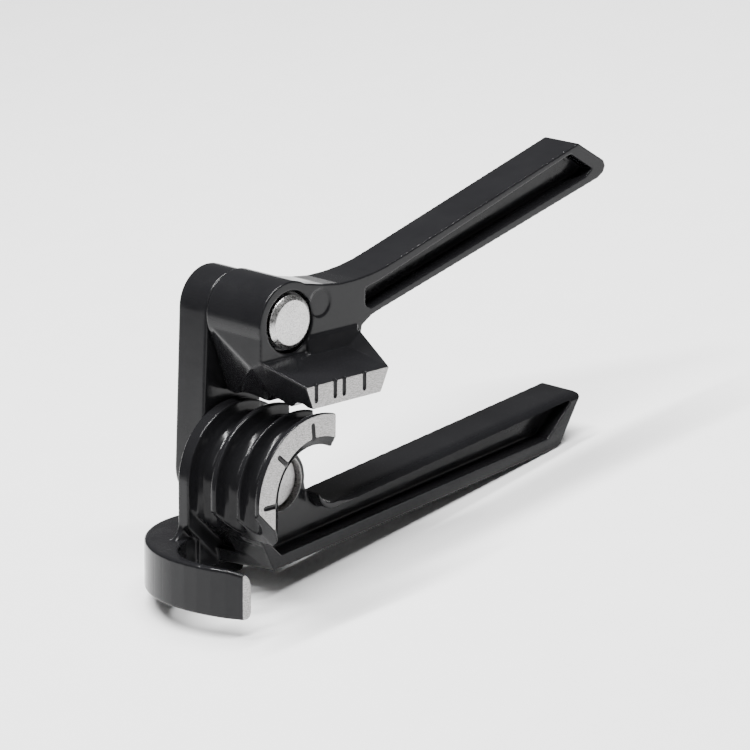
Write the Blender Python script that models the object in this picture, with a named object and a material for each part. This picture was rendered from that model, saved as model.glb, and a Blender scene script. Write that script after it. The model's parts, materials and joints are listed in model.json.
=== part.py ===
"""Three-groove lever tube bender: a hooked forming-wheel handle, a shoe handle, the link between them and its two rivets.

Shapes are drawn in the tool's own frame, in millimetres: u to the right, w up and d forward from the link's front face,
with the lower pin's axis at u = w = 0. placed() turns that frame so that the tool stands on its hook and on the lower
handle's tip, and makes metres of it.
"""

import bmesh
import bpy
import math
from mathutils import Matrix, Vector

# --- driving dimensions, mm and degrees ---
STAND = 10.34  # turns the tool down onto the hook's edge and the lower handle's tip
UPPER_AXIS = (1.6, 43.7)
GAP = 0.3  # between pieces that touch

LINK_R = 10.4
LINK_BACK = -10.9

PIN_R = 4.9
BORE_R = PIN_R + GAP
RIVET_R = 7.2  # formed heads behind the link
RIVET_T = 1.8
UPPER_HEAD_R, UPPER_HEAD_FRONT, UPPER_BORE_R = 7.35, 21.6, 8.3
LOWER_HEAD_R, LOWER_HEAD_FRONT, LOWER_BORE_R = 7.35, 17.3, 7.65

FRONT = 33.2  # the ground faces of wheel, shoe and hook
PLATE = 4.3  # front of the wheel's back flange
PLATE_R = 19.6
# Each groove: its centre along d, the tube's radius and the radius of the groove's centre on the wheel.
TUBES = ((9.15, 4.76, 18.5), (19.85, 3.97, 19.2), (28.0, 3.18, 20.0))
RIDGE_R = 20.9
WHEEL_R = 21.6
WALL_R, LIP_R = 15.7, 12.9  # inside of the front wall at its ground face and behind it
LIP_D = 31.4
WEB = 19.0  # the flat around the lower pin
WHEEL_END = 6.4  # the wheel stops here on the right
DIAGONAL = -25.4  # u + w along the wheel's lower left cut
PLATE_DIAGONALS = (-33.2, -30.8)  # and along the back flange's, behind and in front
MARKS_WHEEL = (96.0, 138.0, 180.0)  # degrees
MARK_W, MARK_DEEP = 1.1, 0.7
WHEEL_STEPS = 50

BOSS_R = 9.0
HANDLE_L = (10.5, 24.0)  # back and front of the lower handle
HANDLE_U = (8.1, 20.7)  # back and front of the upper handle
POCKET = 4.6

HOOK_TOP, HOOK_BOTTOM = -15.3, -28.5
HOOK_CENTRE, HOOK_R = (-5.0, 12.3), 27.8  # u, d of the round back

BARREL_R = 10.9
SHOE_BOTTOM = 23.3  # at the ground face
SHOE_RIDGES = (21.9, 21.9, 22.3, 23.3)  # between and beside its grooves, from the back
SHOE_CROWNS = (23.0, 23.9, 24.1)  # top of each groove over the wheel's
MARKS_SHOE = (-0.9, 6.0, 9.3, 16.8)


def arc(cu, cw, r, start, end, steps):
    """Points on a circle from start to end degrees, both kept."""
    return [
        (cu + r * math.cos(math.radians(a)), cw + r * math.sin(math.radians(a)))
        for a in (start + (end - start) * i / steps for i in range(steps + 1))
    ]


def tidied(mesh):
    """Flat triangles facing out, with no doubled points: what an exact Boolean needs."""
    bm = bmesh.new()
    bm.from_mesh(mesh)
    bmesh.ops.remove_doubles(bm, verts=bm.verts, dist=1e-4)
    bmesh.ops.dissolve_degenerate(bm, edges=bm.edges, dist=1e-4)
    bmesh.ops.triangulate(bm, faces=bm.faces)
    bmesh.ops.recalc_face_normals(bm, faces=bm.faces)
    bm.to_mesh(mesh)
    bm.free()


def mesh_object(name, verts, faces):
    mesh = bpy.data.meshes.new(name)
    mesh.from_pydata(verts, [], faces)
    tidied(mesh)
    obj = bpy.data.objects.new(name, mesh)
    bpy.context.scene.collection.objects.link(obj)
    return obj


def loft(name, rings):
    """A closed solid through rings of (u, d, w) points, all of one length."""
    n = len(rings[0])
    verts = [(u, -d, w) for ring in rings for u, d, w in ring]
    faces = [tuple(range(n)), tuple(reversed(range((len(rings) - 1) * n, len(rings) * n)))]
    for k in range(len(rings) - 1):
        for i in range(n):
            j = (i + 1) % n
            faces.append((k * n + i, k * n + j, (k + 1) * n + j, (k + 1) * n + i))
    return mesh_object(name, verts, faces)


def across(name, *sections):
    """A loft of in-plane outlines, each given with its d."""
    return loft(name, [[(u, d, w) for u, w in outline] for d, outline in sections])


def prism(name, outline, back, front):
    return across(name, (back, outline), (front, outline))


def disc(name, centre, r, back, front, steps=64):
    return prism(name, arc(*centre, r, 0, 360 * (steps - 1) / steps, steps - 1), back, front)


def turned(name, profile, centre=(0, 0), steps=72):
    """A solid of revolution about the d axis; profile is (d, r) from the back to the front, closed on the axis."""
    cu, cw = centre
    ring = []
    for k in range(steps):
        a = 2 * math.pi * k / steps
        ring.append([(cu + r * math.cos(a), -d, cw + r * math.sin(a)) for d, r in profile])
    verts = [v for part in ring for v in part]
    n = len(profile)
    faces = [
        (k * n + i, ((k + 1) % steps) * n + i, ((k + 1) % steps) * n + i + 1, k * n + i + 1)
        for k in range(steps)
        for i in range(n - 1)
    ]
    faces += [tuple(k * n for k in range(steps)), tuple(k * n + n - 1 for k in range(steps))]
    return mesh_object(name, verts, faces)


def boolean(target, tool, operation):
    modifier = target.modifiers.new("cut", "BOOLEAN")
    modifier.operation = operation
    modifier.solver = "EXACT"
    modifier.object = tool
    bpy.context.view_layer.update()
    graph = bpy.context.evaluated_depsgraph_get()
    mesh = bpy.data.meshes.new_from_object(target.evaluated_get(graph))
    target.modifiers.clear()
    tidied(mesh)
    old, target.data = target.data, mesh
    bpy.data.meshes.remove(old)
    old = tool.data
    bpy.data.objects.remove(tool)
    bpy.data.meshes.remove(old)
    return target


def joined(target, *tools):
    for tool in tools:
        boolean(target, tool, "UNION")
    return target


def cut(target, *tools):
    for tool in tools:
        boolean(target, tool, "DIFFERENCE")
    return target


def wheel_profile():
    """(d, radius) points of the flange, the three U-shaped grooves and their ridges, from the back to the front."""
    points = [(PLATE - 1.0, PLATE_R - 1.9), (TUBES[0][0] - TUBES[0][1], PLATE_R - 0.4)]
    for i, (d, tube, centre) in enumerate(TUBES):
        if i:
            points += [(d - tube - 0.3, RIDGE_R), (d - tube, RIDGE_R - 0.4)]
        points += [(d - tube * math.cos(math.pi * k / 8), centre - tube * math.sin(math.pi * k / 8)) for k in range(9)]
        if i < 2:
            points += [(d + tube, RIDGE_R - 0.4), (d + tube + 0.4, RIDGE_R)]
    return points + [(31.25, WHEEL_R - 0.35), (31.7, WHEEL_R), (FRONT, WHEEL_R)]


def hollow_outline(r, corner):
    """The open middle of the casting: inside the front wall of radius r, past the boss and along the handle's pocket."""
    top = math.sqrt(r * r - WHEEL_END * WHEEL_END)
    start = math.degrees(math.atan2(top, WHEEL_END))
    pocket = [(-4.4, -17.7), (99.0, -6.6), (108.3, 2.0), (108.0, 2.8), (16.0, -8.9)] + arc(14.9, -3.4, 5.6, 275, 185, 6)
    return arc(0, 0, r, start, 180, 24) + [(-r, corner)] + pocket + [(40, 0), (40, top)]


def mark(angle):
    """The cutter for one gauge mark in the wheel's ground face."""
    half, r0, r1 = MARK_W / 2, WALL_R - 1.5, 19.4
    outline = [(r0, -half), (r1, -half), (r1 + 0.4, 0), (r1, half), (r0, half)]
    c, s = math.cos(math.radians(angle)), math.sin(math.radians(angle))
    return prism("mark", [(x * c - y * s, x * s + y * c) for x, y in outline], FRONT - MARK_DEEP, FRONT + 2)


def wheel():
    """The grooved wheel with its core: round over the top, straight down on the left, cut off at 45 degrees."""
    section = [(PLATE - 1.0, 4.0)] + wheel_profile() + [(FRONT, 4.0)]
    rings = []
    for k in range(WHEEL_STEPS + 1):
        a = math.radians(-20 + 200 * k / WHEEL_STEPS)
        rings.append([(r * math.cos(a), d, r * math.sin(a)) for d, r in section])
    rings.append([(-r, d, -24.0) for d, r in section])
    body = loft("wheel", rings)
    boolean(body, prism("end", [(WHEEL_END, 26), (-26, 26), (-26, -30), (WHEEL_END, -30)], -2, 40), "INTERSECT")
    cut(body, prism("clear", [(-LIP_R - 0.2, -5), (-LIP_R - 0.2, -30), (30, -30), (30, -5)], WEB - 1, 40))
    joined(body, prism("core", [(-12, 2), (-12, -21.6), (6.1, -21.2), (6.1, 2)], PLATE - 1.5, WEB + 1.5))
    # The ground face stops short of the cut, so the casting slopes away below it.
    below = [(-30, DIAGONAL + 30), (20, DIAGONAL - 20), (-45, -60)]
    higher = [(-30, DIAGONAL + 33.2), (20, DIAGONAL - 16.8), (-45, -60)]
    return cut(body, across("slope", (-2, below), (LIP_D - 1.5, below), (FRONT + 0.05, higher), (40, higher)))


def plate():
    """The back flange: round on top, a column on the left that flares onto the hook, and the same 45 degree cut."""
    top = arc(0, 0, PLATE_R, -18, 180, 54)

    def outline(diagonal):
        return top + [(-PLATE_R, diagonal + PLATE_R), (-7.6, diagonal + 7.6), (4.6, -23.5), (13.0, -15.0)]

    front = across("plate", *[(d, outline(diagonal)) for d, diagonal in zip((GAP, PLATE), PLATE_DIAGONALS)])
    flare = [(-PLATE_R + 4.4 * (math.cos(math.radians(a)) - 1), -11.3 - 4.2 * math.sin(math.radians(a))) for a in range(0, 91, 15)]
    return joined(front, prism("flare", [(-12, -2), (-PLATE_R + 0.02, -2)] + flare + [(-24.1, -20), (-12, -20)], GAP + 0.02, 2.2))


def lower_handle_body():
    back, front = HANDLE_L
    top = [(111.0, 4.8), (16.0, -7.1)] + arc(14.9, -1.2, 6.0, 276, 192, 7) + [(8.6, -1.0)]
    bottom = [(-14.0, -11.0), (-10.9, -14.2), (-7.15, -21.65), (103.4, -10.0), (104.4, -9.3), (112.2, 3.2), (112.0, 4.2)]
    body = prism("body", bottom + top + [(2, 3.5), (-11, 3.5)], back, front)
    back_pocket = [(18.5, -16.4), (98.5, -7.0), (107.0, 1.6), (106.8, 2.3), (18.5, -9.0)]
    cut(body, prism("back_pocket", back_pocket, back - 1, back + POCKET - 0.8))
    return body


def hook():
    """The tube hook: a band that swells from the root behind the wheel, round the left, to its ground end in front."""
    cu, cd = HOOK_CENTRE
    outer = [(2.0, cd - HOOK_R), (cu, cd - HOOK_R)]
    outer += [(cu - HOOK_R * math.sin(math.radians(a)), cd - HOOK_R * math.cos(math.radians(a))) for a in (15, 30, 45, 60, 72, 81, 90)]
    outer += [(-32.6, 16.5), (-32.0, 20.7), (-31.0, 24.9), (-29.5, 29.1), (-27.2, FRONT)]
    inner = [(2.0, 3.0), (-5.0, 3.0), (-10.0, 3.0), (-15.0, 3.0), (-19.5, 3.2), (-22.6, 4.4), (-25.2, 6.4), (-27.2, 8.8), (-28.6, 11.6), (-29.2, 15.2), (-28.9, 19.3), (-28.0, 23.8), (-26.4, 28.4), (-24.1, FRONT)]
    rings = []
    for i, ((uo, do), (ui, di)) in enumerate(zip(outer, inner)):
        t = max(0.0, (i - 6) / 7)
        thick = math.hypot(ui - uo, di - do)
        ease = min(0.62, 2.6 / thick) * t
        low = min(0.4, 1.3 / thick)
        drop = 0.9 * max(0.0, (i - 12.0))

        def at(f, w):
            return (uo + (ui - uo) * f, do + (di - do) * f, w)

        top = HOOK_TOP - drop
        rings.append(
            [
                at(0, HOOK_BOTTOM + 0.3),
                at(0, top - 0.4),
                at(0.4 / thick, top),
                at(1 - ease - 0.02, top),
                at(1 - ease * 0.45, top - 1.2 * t),
                at(1 - ease * 0.1, top - 3.0 * t - 0.05),
                at(1, top - 5.2 * t - 0.15),
                at(1, HOOK_BOTTOM + 1.6),
                at(1 - low * 0.3, HOOK_BOTTOM + 0.5),
                at(1 - low, HOOK_BOTTOM),
                at(0.3 / thick, HOOK_BOTTOM),
            ]
        )
    return loft("hook", rings)


def root():
    """What ties hook, back flange and handle together under the link's end, with the heel below the handle."""
    low, high = -24.2, HOOK_TOP - 0.2
    foot = prism("foot", [(-15.3, low), (4.3, low), (5.6, low + 2), (5.6, high), (-15.3, high)], -12.5, PLATE - 0.4)
    heel = across(
        "heel",
        (3.2, [(-9.5, -19.0), (-8.4, -23.1), (4.9, -23.1), (5.4, -19.0)]),
        (22.9, [(-8.0, -19.0), (-6.95, -21.75), (4.8, -20.5), (5.2, -18.0)]),
    )
    return joined(foot, heel)


def lower_casting():
    body = joined(
        wheel(),
        lower_handle_body(),
        disc("boss", (0, 0), BOSS_R, PLATE - 1.1, WEB + 1.2, 48),
        plate(),
        root(),
        hook(),
    )
    inner, lip = hollow_outline(WALL_R, -13.0), hollow_outline(LIP_R, -9.5)
    cut(body, across("hollow", (WEB, lip), (LIP_D, lip), (FRONT + 0.02, inner), (40, inner)))
    cut(
        body,
        disc("bore", (0, 0), BORE_R, -20, 40, 48),
        disc("recess", (0, 0), LOWER_BORE_R, LOWER_HEAD_FRONT - 2.3, 40, 48),
        *[mark(a) for a in MARKS_WHEEL],
    )
    return body


def underside():
    """Everything below the shoe: a cutter along u whose top follows the ridges and the shallow grooves."""
    line = [(-2.0, SHOE_RIDGES[0])]
    for (d, tube, _), left, right, crown in zip(TUBES, SHOE_RIDGES, SHOE_RIDGES[1:], SHOE_CROWNS):
        for k in range(9):
            x = k / 4 - 1
            base = left + (right - left) * k / 8
            line.append((d + tube * x, base + (crown - (left + right) / 2) * (1 - x * x)))
    line += [(36.0, SHOE_RIDGES[-1]), (36.0, 5.0), (-2.0, 5.0)]
    return loft("underside", [[(u, d, w) for d, w in line] for u in (-40, 60)])


def shoe():
    """The bending shoe and the neck above it."""
    left, right, low, corner = -8.9, 22.8, 19.0, SHOE_BOTTOM
    b, f = GAP, HANDLE_U[1]

    def neck(knee):
        toe = -2.1 + (left + 2.1) * (low - corner) / (knee - corner)
        return [(left, 43.0), (left, knee), (toe, low), (right - 1.9, low), (26.0, 29.8), (28.2, 36.4), (28.6, 39.0), (4.0, 47.0)]

    def toe(back):
        end = -2.1 + 2.6 * (corner - low) / 6.3
        if back:
            return [(left + 0.1, 34.7), (-0.4, low), (right - 1.9, low), (27.9, 36.1), (27.0, 37.8), (20.5, 34.9), (6.0, 34.9)]
        return [(-4.7, 29.6), (end, low), (right - 1.9, low), (26.0, 29.5), (25.8, 29.8), (24.0, 29.75), (5.0, 29.7)]

    body = across("neck", (b, neck(41.6)), (16.8, neck(32.6)), (f, neck(34.6)))
    joined(body, across("toe", (f - 0.5, toe(True)), (FRONT, toe(False))))
    wedge = [(f - 0.4, 38.7), (f + 0.5, 38.5), (f + 1.9, 33.5), (f - 0.4, 33.5)]
    joined(body, loft("wedge", [[(u, d, w) for d, w in wedge] for u in (7.4, 26.2)]))
    cut(body, underside())
    for u in MARKS_SHOE:
        half = MARK_W / 2
        outline = [(u - half, 25.2), (u, 24.8), (u + half, 25.2), (u + half, 40), (u - half, 40)]
        cut(body, prism("mark", outline, FRONT - MARK_DEEP, FRONT + 2))
    return body


def upper_handle_body():
    back, front = HANDLE_U
    cu, cw = UPPER_AXIS
    outline = arc(cu, cw, BARREL_R - 0.02, 60, 180, 12)
    outline += [(-8.3, 40.5), (-3.0, 34.9), (27.0, 36.0), (28.3, 38.0), (32.1, 40.3), (36.0, 41.4), (121.2, 63.7), (123.4, 65.0), (124.2, 66.8), (123.4, 68.5), (112.7, 74.8)]
    outline += [(42.5, 54.2), (37.0, 52.7), (31.9, 51.7), (26.0, 51.1), (20.0, 51.0), (14.0, 51.7)]
    body = prism("body", outline, back, front)
    pocket = [(29.6, 43.4), (31.6, 42.4), (115.9, 65.0), (118.6, 66.9), (110.0, 72.0), (108.8, 71.9), (34.3, 48.9), (29.6, 48.0)]
    cut(body, prism("front_pocket", pocket, front - POCKET, front + 1))
    cut(body, prism("back_pocket", pocket, back - 1, back + POCKET - 0.8))
    return body


def upper_casting():
    body = disc("barrel", UPPER_AXIS, BARREL_R, GAP, HANDLE_U[1])
    joined(body, shoe(), upper_handle_body())
    cut(
        body,
        disc("bore", UPPER_AXIS, BORE_R, -20, 40, 48),
        disc("recess", UPPER_AXIS, UPPER_BORE_R, HANDLE_U[1] - 2.2, 40, 64),
        disc("ejector", (12.6, 47.0), 3.85, HANDLE_U[1] - 0.35, 40, 32),
    )
    return body


def link():
    (cu, cw) = UPPER_AXIS
    lean = math.degrees(math.atan2(cw, cu)) - 90
    outline = arc(cu, cw, LINK_R, lean, lean + 180, 32) + arc(0, 0, LINK_R, lean + 180, lean + 360, 32)
    edge = 0.4
    length = math.hypot(cu, cw)

    def inset(r):
        return arc(cu, cw, r, lean, lean + 180, 32) + arc(0, 0, r, lean + 180, lean + 360, 32)

    body = across("link", (LINK_BACK, inset(LINK_R - edge)), (LINK_BACK + edge, outline), (-edge, outline), (0, inset(LINK_R - edge)))
    return cut(body, disc("bore", (0, 0), BORE_R, -30, 10, 48), disc("bore", UPPER_AXIS, BORE_R, -30, 10, 48))


def rivet(centre, head_r, head_front, head_back, chamfer):
    """Front head, shank through the casting and the link, and the head formed behind the link."""
    behind = LINK_BACK - GAP
    profile = [
        (behind - RIVET_T, RIVET_R - 1.2),
        (behind - RIVET_T + 0.7, RIVET_R - 0.2),
        (behind - 0.4, RIVET_R),
        (behind, RIVET_R),
        (behind, PIN_R),
        (head_back, PIN_R),
        (head_back, head_r),
        (head_front - chamfer, head_r),
        (head_front, head_r - chamfer * 1.3),
    ]
    return turned("rivet", profile, centre, steps=56)


def material(name, colour, metallic, roughness):
    mat = bpy.data.materials.new(name)
    mat.use_nodes = True
    shader = mat.node_tree.nodes["Principled BSDF"]
    shader.inputs["Base Color"].default_value = (*colour, 1)
    shader.inputs["Metallic"].default_value = metallic
    shader.inputs["Roughness"].default_value = roughness
    return mat


def to_world(lift, centre):
    """The tool's frame in millimetres to the library's in metres."""
    return Matrix.Translation((-centre[0], -centre[1], lift)) @ Matrix.Scale(0.001, 4) @ Matrix.Rotation(math.radians(STAND), 4, "Y")


def placed(obj, name, axis, world, finish):
    """Moves the mesh to its place and the object's origin to (u, w) on its joint's axis."""
    obj.name = obj.data.name = name
    origin = world @ Vector((axis[0], 0, axis[1]))
    obj.data.transform(Matrix.Translation(-origin) @ world)
    obj.location = origin
    obj.data.materials.clear()
    obj.data.materials.append(finish)
    return origin


def bounds(objects, world):
    points = [world @ v.co for obj in objects for v in obj.data.vertices]
    return [(min(p[i] for p in points), max(p[i] for p in points)) for i in range(3)]


def main():
    for obj in list(bpy.data.objects):
        bpy.data.objects.remove(obj)
    pieces = {
        "lower_handle": (lower_casting(), (0, 0), material("lower_handle_paint", (0.012, 0.012, 0.013), 0.0, 0.22)),
        "upper_handle": (upper_casting(), UPPER_AXIS, material("upper_handle_paint", (0.012, 0.012, 0.013), 0.0, 0.2)),
        "connecting_link": (link(), (0, 0), material("link_paint", (0.014, 0.014, 0.015), 0.0, 0.26)),
        "lower_pin": (
            rivet((0, 0), LOWER_HEAD_R, LOWER_HEAD_FRONT, LOWER_HEAD_FRONT - 2.0, 0.3),
            (0, 0),
            material("lower_pin_steel", (0.62, 0.62, 0.61), 1.0, 0.34),
        ),
        "upper_pin": (
            rivet(UPPER_AXIS, UPPER_HEAD_R, UPPER_HEAD_FRONT, HANDLE_U[1] - 2.2 + GAP, 1.0),
            UPPER_AXIS,
            material("upper_pin_steel", (0.62, 0.62, 0.61), 1.0, 0.32),
        ),
    }
    box = bounds([piece[0] for piece in pieces.values()], to_world(0, (0, 0)))
    world = to_world(-box[2][0], ((box[0][0] + box[0][1]) / 2, (box[1][0] + box[1][1]) / 2))
    for name, (obj, axis, finish) in pieces.items():
        origin = placed(obj, name, axis, world, finish)
        print("origin", name, [round(1000 * c, 3) for c in origin])
    for label, point in (("frame", (0, 0, 0)), ("hook underside", (-31.0, -14, HOOK_BOTTOM)), ("link back", (0.8, -LINK_BACK, 21.8))):
        print("point", label, [round(1000 * c, 3) for c in world @ Vector(point)])


main()
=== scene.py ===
"""The looks of a three-size hand tube bender: two die-cast handles, a link and two rivets.

Sizes are in millimetres in the tool's own frame: u along the wheel's level line, d out of the link's front face
towards the camera, w up. The origin is on the lower rivet's axis. The frame's record gives where that frame stands.
"""

import json
import math

import bmesh
import bpy
from mathutils import Matrix, Vector


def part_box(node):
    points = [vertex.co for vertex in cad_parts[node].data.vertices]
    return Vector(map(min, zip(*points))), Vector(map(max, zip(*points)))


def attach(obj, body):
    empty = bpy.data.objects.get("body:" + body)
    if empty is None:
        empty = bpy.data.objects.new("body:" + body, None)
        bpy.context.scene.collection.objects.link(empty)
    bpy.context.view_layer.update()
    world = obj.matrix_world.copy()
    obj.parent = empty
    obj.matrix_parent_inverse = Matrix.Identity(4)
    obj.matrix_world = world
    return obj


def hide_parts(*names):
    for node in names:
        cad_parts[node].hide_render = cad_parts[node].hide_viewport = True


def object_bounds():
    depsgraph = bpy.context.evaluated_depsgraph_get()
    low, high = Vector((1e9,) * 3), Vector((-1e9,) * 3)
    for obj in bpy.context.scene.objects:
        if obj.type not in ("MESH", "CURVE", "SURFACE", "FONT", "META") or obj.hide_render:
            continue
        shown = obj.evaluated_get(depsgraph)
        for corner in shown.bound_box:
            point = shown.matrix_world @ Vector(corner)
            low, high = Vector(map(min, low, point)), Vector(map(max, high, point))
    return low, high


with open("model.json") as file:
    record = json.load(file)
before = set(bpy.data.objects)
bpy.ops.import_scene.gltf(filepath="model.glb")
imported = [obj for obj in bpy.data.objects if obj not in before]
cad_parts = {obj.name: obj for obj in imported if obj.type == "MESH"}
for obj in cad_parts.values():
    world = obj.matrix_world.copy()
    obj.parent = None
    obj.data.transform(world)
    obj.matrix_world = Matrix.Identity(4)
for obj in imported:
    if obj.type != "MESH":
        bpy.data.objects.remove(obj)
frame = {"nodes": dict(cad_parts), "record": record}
CAD_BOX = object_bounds()
RECORD = frame["record"]
MM = 0.001

# --- where the tool stands ---
JOINT_AT = {j["name"]: Vector(j["pos_m"]) for j in RECORD["behaviour"]["joints"]}
LOWER, UPPER = JOINT_AT["link_swing"], JOINT_AT["upper_handle_pivot"]
REST = next(m["axis"] for m in RECORD["mounts"] if m["name"] == "hook_underside")
TILT = math.atan2(-REST[0], -REST[2])
TURN = Matrix.Rotation(TILT, 3, "Y")
TO_WORLD = Matrix.Translation(LOWER) @ TURN.to_4x4() @ Matrix.Scale(MM, 4)
TO_TOOL = TO_WORLD.inverted()

# --- camera ---
CAM_AZIMUTH, CAM_ELEVATION = 43.57, 16.55  # degrees, about the tool's own frame
CAM_DISTANCE, CAM_LENS, CAM_SENSOR = 1.1, 198.24, 36.0
CAM_SHIFT = (0.1922, 0.1241)

# --- castings ---
VOXEL = 0.24
CAST_PASSES = 12  # smoothing passes that round the cast edges
KEPT = 0.45  # share of the remeshed faces that is kept
GRIND = 0.1  # taken off the front faces after casting
FRONT = (LOWER.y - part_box("lower_handle")[0].y) / MM
COUNTERBORE_R = 7.75
HOOK_CENTRE, HOOK_R, HOOK_TOP = (-5.0, 12.3), 27.8, -15.3  # u, d of its round back, and its level top
HOOK_CORNERS = (0, 15, 30, 45, 60, 72, 81, 90)  # degrees round that back where the solid has corners
HOOK_WALL = 1.4  # how deep below the surface the rounding reaches
LEVER_TOP = ((16.0, -7.1), (111.0, 4.8))  # u, w of the lower lever's top edge
LEVER_FRONT, LEVER_ROLL = 24.0, 3.0  # its front and the radius of that edge

# --- rivets, as in the frame ---
PIN_R, TAIL_R, TAIL_T = 4.9, 7.2, 1.8
LOWER_SHOULDER, LOWER_CHAMFER = 15.3, 0.3  # d of the head's back, and the chamfer on its front
UPPER_SHOULDER, UPPER_CHAMFER = 18.8, 1.0
BREAK_R = 0.22  # every corner's small radius
LATHE_STEPS = 144

# --- stage ---
FLOOR_HALF = 4.0  # metres
AIM = (0.0, 0.0, 0.04)
STRIP_SIZE, STRIP_W = (1.0, 0.035), 24.0
ROOM_LIGHT = 0.14


# ---------------------------------------------------------------- node helpers


def new_material(name):
    mat = bpy.data.materials.new(name)
    mat.use_nodes = True
    tree = mat.node_tree
    return mat, tree, tree.nodes["Principled BSDF"]


def feed(tree, socket, value):
    if isinstance(value, bpy.types.NodeSocket):
        tree.links.new(value, socket)
    else:
        socket.default_value = value


def add(tree, kind, inputs=(), **settings):
    node = tree.nodes.new(kind)
    for key, value in settings.items():
        setattr(node, key, value)
    for key, value in dict(inputs).items():
        feed(tree, node.inputs[key], value)
    return node


def calc(tree, operation, a, b=0.0):
    return add(tree, "ShaderNodeMath", {0: a, 1: b}, operation=operation).outputs[0]


def ramp(tree, value, low, high, to_low=0.0, to_high=1.0):
    """value from low to high, smoothly, as to_low to to_high."""
    inputs = {"Value": value, "From Min": low, "From Max": high, "To Min": to_low, "To Max": to_high}
    return add(tree, "ShaderNodeMapRange", inputs, interpolation_type="SMOOTHSTEP").outputs[0]


def blend(tree, factor, a, b):
    """Colour a where factor is 0, and b where it is 1."""
    node = add(tree, "ShaderNodeMix", data_type="RGBA")
    feed(tree, node.inputs[0], factor)
    feed(tree, node.inputs[6], a)
    feed(tree, node.inputs[7], b)
    return node.outputs[2]


def noise(tree, vector, scale, detail=2.0, roughness=0.5):
    inputs = {"Vector": vector, "Scale": scale, "Detail": detail, "Roughness": roughness}
    return add(tree, "ShaderNodeTexNoise", inputs).outputs["Fac"]


def stretched(tree, vector, scale, turn=(0, 0, 0)):
    return add(tree, "ShaderNodeMapping", {"Vector": vector, "Scale": scale, "Rotation": turn}).outputs[0]


def tool_point(tree):
    """The point in the tool's frame, in millimetres: (u, -d, w). It stays with the piece as its body moves."""
    shift = -(TURN.inverted() @ LOWER) / MM
    inputs = {
        "Vector": add(tree, "ShaderNodeTexCoord").outputs["Object"],
        "Location": shift,
        "Rotation": (0, -TILT, 0),
        "Scale": (1 / MM, 1 / MM, 1 / MM),
    }
    return add(tree, "ShaderNodeMapping", inputs).outputs[0]


def bump(tree, height, depth, normal=None):
    """depth is in millimetres."""
    inputs = {"Height": height, "Distance": depth * MM}
    if normal is not None:
        inputs["Normal"] = normal
    return add(tree, "ShaderNodeBump", inputs).outputs[0]


# ---------------------------------------------------------------- materials

PEEL_MM, SAND_MM, SCRATCH_MM = 0.003, 0.016, 0.02  # depths of the paint's orange peel, the cast skin and the grinding
GRAIN_TURN = math.radians(38)  # the way the front faces were ground
PAINT_IOR, PAINT_SPECULAR = 1.45, 0.2

BLACK = (0.006, 0.006, 0.0068, 1)
BLACK_WORN = (0.011, 0.011, 0.012, 1)
STEEL = (0.46, 0.45, 0.445, 1)
STEEL_DARK = (0.17, 0.166, 0.164, 1)
# bright, dark, roughness
LOWER_STEEL = ((0.42, 0.415, 0.41, 1), (0.25, 0.245, 0.24, 1), 0.42)
UPPER_STEEL = ((0.55, 0.545, 0.54, 1), (0.3, 0.295, 0.29, 1), 0.28)


def distance_from_axis(tree, u, w):
    squares = [calc(tree, "MULTIPLY", side, side) for side in (u, w)]
    return calc(tree, "SQRT", calc(tree, "ADD", *squares))


def cast_paint(name, bare=True):
    """Gloss black enamel over a die casting, with the ground front faces and the counterbore left bare."""
    mat, tree, shader = new_material(name)
    point = tool_point(tree)
    axes = add(tree, "ShaderNodeSeparateXYZ", {"Vector": point})
    u, d, w = axes.outputs[0], calc(tree, "MULTIPLY", axes.outputs[1], -1.0), axes.outputs[2]

    peel = noise(tree, point, 1.3, 2.0)
    sand = noise(tree, point, 0.35, 3.0, 0.6)
    patches = noise(tree, point, 0.09, 3.0)
    black = blend(tree, patches, BLACK, BLACK_WORN)
    gloss = ramp(tree, noise(tree, point, 0.22, 4.0, 0.65), 0.3, 0.7, 0.11, 0.22)
    shape = bump(tree, sand, SAND_MM, bump(tree, peel, PEEL_MM))

    if bare:
        ground = ramp(tree, d, FRONT - GRIND - 0.035, FRONT - GRIND - 0.01)
        inside = ramp(tree, distance_from_axis(tree, u, w), COUNTERBORE_R + 0.25, COUNTERBORE_R)
        bored = calc(tree, "MULTIPLY", inside, ramp(tree, d, 13.5, 14.0))
        mask = calc(tree, "MAXIMUM", ground, bored)
        grain = noise(tree, stretched(tree, point, (0.9, 1.0, 7.0), (0, GRAIN_TURN, 0)), 1.0, 3.0, 0.6)
        speck = noise(tree, point, 3.2, 2.0, 0.7)
        marks = calc(tree, "ADD", calc(tree, "MULTIPLY", grain, 0.45), calc(tree, "MULTIPLY", speck, 0.55))
        tone = ramp(tree, marks, 0.40, 0.60)
        steel = blend(tree, tone, STEEL_DARK, STEEL)
        feed(tree, shader.inputs["Base Color"], blend(tree, mask, black, steel))
        feed(tree, shader.inputs["Metallic"], mask)
        rough = add(tree, "ShaderNodeMix", {0: mask, 2: gloss, 3: ramp(tree, speck, 0.3, 0.7, 0.42, 0.6)})
        feed(tree, shader.inputs["Roughness"], rough.outputs[0])
        scratch = bump(tree, calc(tree, "MULTIPLY", grain, mask), SCRATCH_MM, shape)
        feed(tree, shader.inputs["Normal"], scratch)
    else:
        feed(tree, shader.inputs["Base Color"], black)
        feed(tree, shader.inputs["Roughness"], gloss)
        feed(tree, shader.inputs["Normal"], shape)
    shader.inputs["IOR"].default_value = PAINT_IOR
    shader.inputs["Specular IOR Level"].default_value = PAINT_SPECULAR
    return mat


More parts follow.
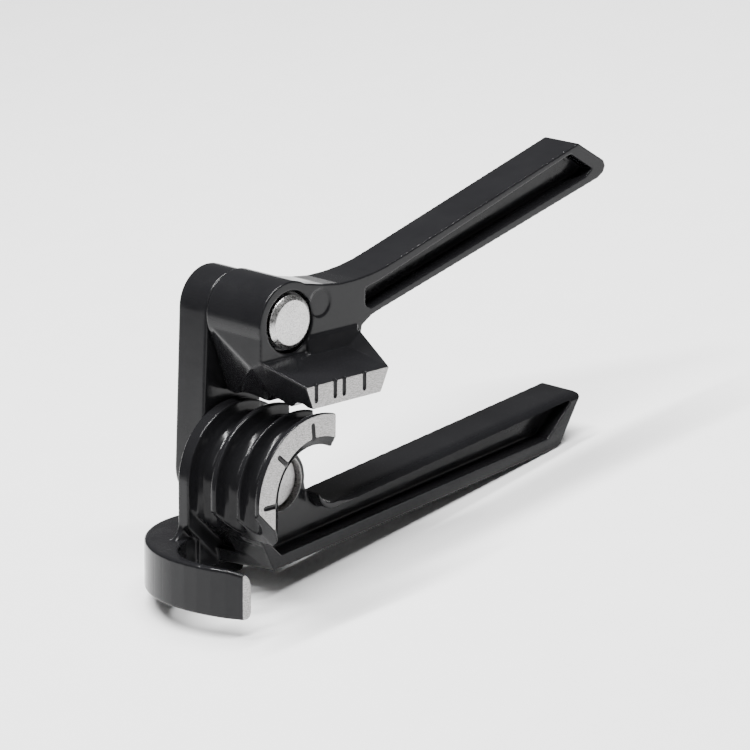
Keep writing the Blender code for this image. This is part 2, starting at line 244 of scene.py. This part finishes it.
def turned_steel(name, centre, bright, dark, roughness):
    """Steel faced on a lathe: fine rings round the rivet's axis, a few knocks, and a speckle."""
    mat, tree, shader = new_material(name)
    point = tool_point(tree)
    axes = add(tree, "ShaderNodeSeparateXYZ", {"Vector": point})
    du, dw = (calc(tree, "SUBTRACT", axes.outputs[i], c) for i, c in ((0, centre[0]), (2, centre[1])))
    radius = distance_from_axis(tree, du, dw)
    wobble = calc(tree, "MULTIPLY", noise(tree, point, 0.4, 2.0), 1.5)
    rings = calc(tree, "SINE", calc(tree, "MULTIPLY", calc(tree, "ADD", radius, wobble), 16.0))
    speck = noise(tree, point, 2.4, 3.0, 0.7)
    knocks = ramp(tree, noise(tree, point, 0.8, 3.0, 0.7), 0.6, 0.72)
    tone = ramp(tree, calc(tree, "ADD", calc(tree, "MULTIPLY", rings, 0.05), speck), 0.32, 0.62)
    feed(tree, shader.inputs["Base Color"], blend(tree, tone, dark, bright))
    feed(tree, shader.inputs["Roughness"], ramp(tree, speck, 0.3, 0.7, roughness - 0.06, roughness + 0.1))
    shape = bump(tree, knocks, 0.03, bump(tree, rings, 0.004, bump(tree, speck, 0.012)))
    feed(tree, shader.inputs["Normal"], shape)
    shader.inputs["Metallic"].default_value = 1.0
    return mat


def floor_paper():
    mat, tree, shader = new_material("floor_paper")
    point = add(tree, "ShaderNodeTexCoord").outputs["Object"]
    fibre = noise(tree, point, 60.0, 3.0)
    feed(tree, shader.inputs["Base Color"], blend(tree, fibre, (0.86, 0.86, 0.86, 1), (0.9, 0.9, 0.9, 1)))
    shader.inputs["Roughness"].default_value = 0.9
    shader.inputs["Specular IOR Level"].default_value = 0.1
    return mat


# ---------------------------------------------------------------- pieces


def finished(obj, body, node, mat):
    """Paints the piece, seats it on its body in the node's place, and shades it smooth."""
    obj.data.materials.clear()
    obj.data.materials.append(mat)
    for polygon in obj.data.polygons:
        polygon.use_smooth = True
    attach(obj, body)
    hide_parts(node)
    return obj


def shown(name, mesh):
    obj = bpy.data.objects.new(name, mesh)
    bpy.context.scene.collection.objects.link(obj)
    return obj


def softened(node, name, voxel, passes):
    """A copy of the node's solid with every edge rounded, as the mould and the paint leave it."""
    obj = shown(name, frame["nodes"][node].data.copy())
    remesh = obj.modifiers.new("remesh", "REMESH")
    remesh.mode = "VOXEL"
    remesh.voxel_size = voxel * MM
    smooth = obj.modifiers.new("smooth", "SMOOTH")
    smooth.factor = 0.5
    smooth.iterations = passes
    thin = obj.modifiers.new("thin", "DECIMATE")
    thin.ratio = KEPT
    bpy.context.view_layer.update()
    mesh = bpy.data.meshes.new_from_object(obj.evaluated_get(bpy.context.evaluated_depsgraph_get()))
    obj.modifiers.clear()
    obj.data = mesh
    mesh.name = name
    return obj


def ground_flat(obj):
    """Grinds the front faces of the casting to one plane."""
    plane = -(FRONT - GRIND)
    for vertex in obj.data.vertices:
        place = TO_TOOL @ vertex.co
        if place.y < plane:
            place.y = plane
            vertex.co = TO_WORLD @ place
    return obj


def roll_lever_edge(obj):
    """Gives the lower lever's front top edge its wide radius, which fades out towards the wheel."""
    (u0, w0), (u1, w1) = LEVER_TOP
    along = Vector((u1 - u0, w1 - w0)).normalized()
    for vertex in obj.data.vertices:
        place = TO_TOOL @ vertex.co
        reach = min(1.0, max(0.0, (place.x - u0 + 1.0) / 9.0))
        radius = LEVER_ROLL * reach
        below = (place.x - u0) * along.y - (place.z - w0) * along.x
        behind = LEVER_FRONT + place.y
        if not (radius > 0.2 and -0.5 < below < radius and -0.5 < behind < radius and place.x < u1 + 1.5):
            continue
        off = Vector((radius - below, radius - behind))
        if off.length <= radius:
            continue
        off *= radius / off.length
        place.z -= (radius - off.x - below) / along.x
        place.y = radius - off.y - LEVER_FRONT
        vertex.co = TO_WORLD @ place
    return obj


def round_hook(obj):
    """Lifts the flats of the hook's outer wall onto its true arc."""
    cu, cd = HOOK_CENTRE
    for vertex in obj.data.vertices:
        place = TO_TOOL @ vertex.co
        du, dd = place.x - cu, -place.y - cd
        reach = math.hypot(du, dd)
        if place.z > HOOK_TOP + 0.5 or reach < HOOK_R - HOOK_WALL or du > 0 or dd > 0:
            continue
        angle = math.degrees(math.atan2(-du, -dd))
        for first, last in zip(HOOK_CORNERS, HOOK_CORNERS[1:]):
            if first <= angle <= last:
                half, off = math.radians(last - first) / 2, math.radians(angle - (first + last) / 2)
                flat = HOOK_R * math.cos(half) / math.cos(off)
                fade = min(1.0, (reach - HOOK_R + HOOK_WALL) / (HOOK_WALL / 2))
                grown = 1 + (HOOK_R - flat) * fade / reach
                place.x, place.y = cu + du * grown, -(cd + dd * grown)
                vertex.co = TO_WORLD @ place
                break
    return obj


def casting(node, name, slot):
    obj = softened(node, name, VOXEL, CAST_PASSES)
    if node == "lower_handle":
        roll_lever_edge(obj)
        round_hook(obj)
    ground_flat(obj)
    return finished(obj, node, node, cast_paint(slot))


def link_bar():
    obj = softened("connecting_link", "link_bar", VOXEL, CAST_PASSES)
    return finished(obj, "link", "connecting_link", cast_paint("link_paint", bare=False))


def rounded_profile(corners, radius, steps=4):
    """The (d, r) corners with each inner one turned into a small arc."""
    points = [corners[0]]
    for before, at, after in zip(corners, corners[1:], corners[2:]):
        before, at, after = Vector(before), Vector(at), Vector(after)
        cut = min(radius, 0.45 * (before - at).length, 0.45 * (after - at).length)
        start, end = at + (before - at).normalized() * cut, at + (after - at).normalized() * cut
        for k in range(steps + 1):
            t = k / steps
            points.append(tuple(start * (1 - t) ** 2 + at * 2 * t * (1 - t) + end * t * t))
    return points + [corners[-1]]


def rivet(node, name, centre, shoulder, chamfer, mat):
    """A turned rivet from the node's box: front head, shank and the head formed behind the link."""
    low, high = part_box(node)
    front, back = (LOWER.y - low.y) / MM, (LOWER.y - high.y) / MM
    head = (high.x - low.x) / 2 / MM
    corners = [
        (back, 0.0),
        (back, TAIL_R - 1.6),
        (back + 0.8, TAIL_R - 0.3),
        (back + TAIL_T - 0.5, TAIL_R),
        (back + TAIL_T, TAIL_R - 0.1),
        (back + TAIL_T, PIN_R),
        (shoulder, PIN_R),
        (shoulder, head),
        (front - chamfer, head),
        (front - 0.02, head - chamfer * 1.3),
        (front, 0.0),
    ]
    profile = rounded_profile(corners, BREAK_R)
    bm = bmesh.new()
    chain = [bm.verts.new((centre[0] + r, -d, centre[1])) for d, r in profile]
    edges = [bm.edges.new(pair) for pair in zip(chain, chain[1:])]
    bmesh.ops.spin(
        bm,
        geom=chain + edges,
        cent=(centre[0], 0, centre[1]),
        axis=(0, 1, 0),
        angle=2 * math.pi,
        steps=LATHE_STEPS,
        use_merge=True,
    )
    bmesh.ops.remove_doubles(bm, verts=bm.verts, dist=1e-4)
    bmesh.ops.recalc_face_normals(bm, faces=bm.faces)
    mesh = bpy.data.meshes.new(name)
    bm.to_mesh(mesh)
    bm.free()
    mesh.transform(TO_WORLD)
    return finished(shown(name, mesh), "link", node, mat)


# ---------------------------------------------------------------- stage


def floor():
    bm = bmesh.new()
    bmesh.ops.create_grid(bm, x_segments=4, y_segments=4, size=FLOOR_HALF)
    mesh = bpy.data.meshes.new("floor")
    bm.to_mesh(mesh)
    bm.free()
    obj = shown("floor", mesh)
    obj.location.z = CAD_BOX[0][2]
    mesh.materials.append(floor_paper())


def aimed(obj, at):
    obj.rotation_euler = (Vector(at) - obj.location).to_track_quat("-Z", "Y").to_euler()


def softbox(name, place, at, size, energy):
    light = bpy.data.lights.new(name, "AREA")
    light.shape = "RECTANGLE"
    light.size, light.size_y = size
    light.energy = energy
    obj = bpy.data.objects.new(name, light)
    bpy.context.scene.collection.objects.link(obj)
    obj.location = place
    obj.visible_camera = False
    aimed(obj, at)


def lights():
    """Two long soft strips overhead and a slim one on the left, in a dim white room."""
    softbox("strip_front", (-0.15, -0.2, 1.0), AIM, STRIP_SIZE, STRIP_W)
    softbox("strip_back", (0.05, 0.3, 1.0), AIM, STRIP_SIZE, STRIP_W)
    softbox("left", (-0.5, -0.1, 0.45), AIM, (0.03, 0.3), 0.5)
    world = bpy.data.worlds.new("studio")
    world.use_nodes = True
    background = world.node_tree.nodes["Background"]
    background.inputs["Color"].default_value = (1, 1, 1, 1)
    background.inputs["Strength"].default_value = ROOM_LIGHT
    bpy.context.scene.world = world


def camera():
    a, e = math.radians(CAM_AZIMUTH), math.radians(CAM_ELEVATION)
    back = Vector((-math.sin(a) * math.cos(e), -math.cos(a) * math.cos(e), math.sin(e)))
    right = Vector((math.cos(a), -math.sin(a), 0))
    up = back.cross(right)
    right, up, back = TURN @ right, TURN @ up, TURN @ back
    data = bpy.data.cameras.new("camera")
    data.lens, data.sensor_width = CAM_LENS, CAM_SENSOR
    data.shift_x, data.shift_y = CAM_SHIFT
    data.clip_start, data.clip_end = 0.1, 20.0
    obj = bpy.data.objects.new("camera", data)
    bpy.context.scene.collection.objects.link(obj)
    matrix = Matrix((right, up, back)).transposed().to_4x4()
    matrix.translation = LOWER + back * CAM_DISTANCE
    obj.matrix_world = matrix
    bpy.context.scene.camera = obj


def main():
    camera()
    floor()
    lights()
    casting("lower_handle", "lower_casting", "lower_handle_paint")
    casting("upper_handle", "upper_casting", "upper_handle_paint")
    link_bar()
    upper_at = TO_TOOL @ UPPER
    for node, name, at, shoulder, chamfer, look in (
        ("lower_pin", "lower_rivet", (0.0, 0.0), LOWER_SHOULDER, LOWER_CHAMFER, LOWER_STEEL),
        ("upper_pin", "upper_rivet", (upper_at.x, upper_at.z), UPPER_SHOULDER, UPPER_CHAMFER, UPPER_STEEL),
    ):
        rivet(node, name, at, shoulder, chamfer, turned_steel(node + "_steel", at, *look))


main()
